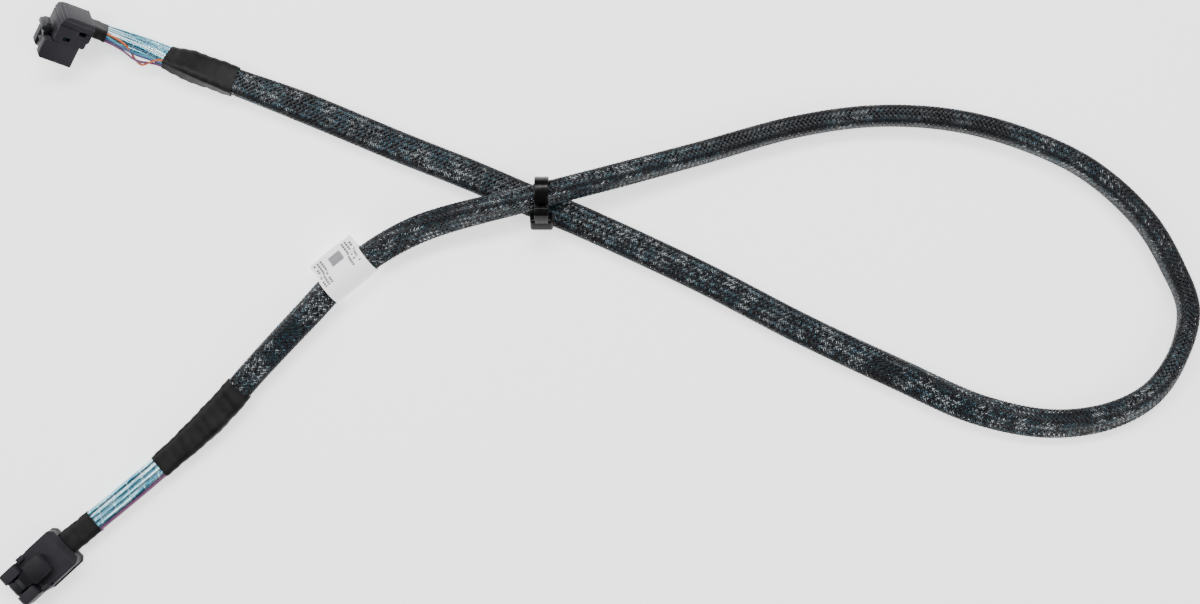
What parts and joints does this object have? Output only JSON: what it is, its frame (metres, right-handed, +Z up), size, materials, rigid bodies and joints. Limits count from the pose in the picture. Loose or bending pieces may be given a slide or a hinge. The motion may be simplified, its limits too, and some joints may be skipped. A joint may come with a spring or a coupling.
{
  "type": "internal server cable",
  "caption": "Black braided flat data cable with a straight and a right-angle latching plug, tied in one loose loop.",
  "frame": {"origin": "middle of the cable's outline, on the floor that it lies on", "axes": "+Z up from the floor, +X along the loop from the plugs to its closed end, +Y from the straight plug's side to the right-angle plug's side"},
  "size_m": [0.4094, 0.2057, 0.0212],
  "materials": {
    "plug_plastic": "satin charcoal",
    "latch_plastic": "satin black",
    "card": "green board",
    "holder_plastic": "black",
    "foil": "blue metallic foil",
    "wire_purple": "purple jacket",
    "wire_blue": "dark blue jacket",
    "wire_cyan": "cyan jacket",
    "wire_orange": "orange jacket",
    "braid": "black filament braid",
    "tape": "black adhesive tape",
    "label": "white film",
    "tie": "black nylon"
  },
  "bodies": {
    "cable": {"straight_lower_shell": "plug_plastic", "straight_upper_shell": "plug_plastic", "angled_front_shell": "plug_plastic", "angled_back_cover": "plug_plastic", "straight_card_lower": "card", "straight_card_upper": "card", "angled_card_lower": "card", "angled_card_upper": "card", "straight_card_holder": "holder_plastic", "angled_card_holder": "holder_plastic", "ribbon_upper": "foil", "ribbon_lower": "foil", "sideband_wire_1": "wire_purple", "sideband_wire_2": "wire_blue", "sideband_wire_3": "wire_cyan", "sideband_wire_4": "wire_orange", "braided_sleeve": "braid", "angled_end_tape": "tape", "straight_end_tape": "tape", "angled_sleeve_wrap": "tape", "straight_sleeve_wrap": "tape", "wrap_label": "label", "cable_tie": "tie"},
    "straight_latch": {"straight_latch": "latch_plastic"},
    "angled_latch": {"angled_latch": "latch_plastic"}
  },
  "joints": [
    {"name": "straight_latch_hinge", "type": "hinge", "parent": "cable", "child": "straight_latch", "pos_m": [-0.19841, -0.09746, 0.01005], "axis": [-0.68, 0.7332, 0], "range_deg": [0, 4], "stiffness_Nm_per_rad": 0.8},
    {"name": "angled_latch_hinge", "type": "hinge", "parent": "cable", "child": "angled_latch", "pos_m": [-0.18958, 0.08717, 0.0114], "axis": [-0.3471, 0.5321, -0.7723], "range_deg": [0, 4], "stiffness_Nm_per_rad": 0.8}
  ]
}
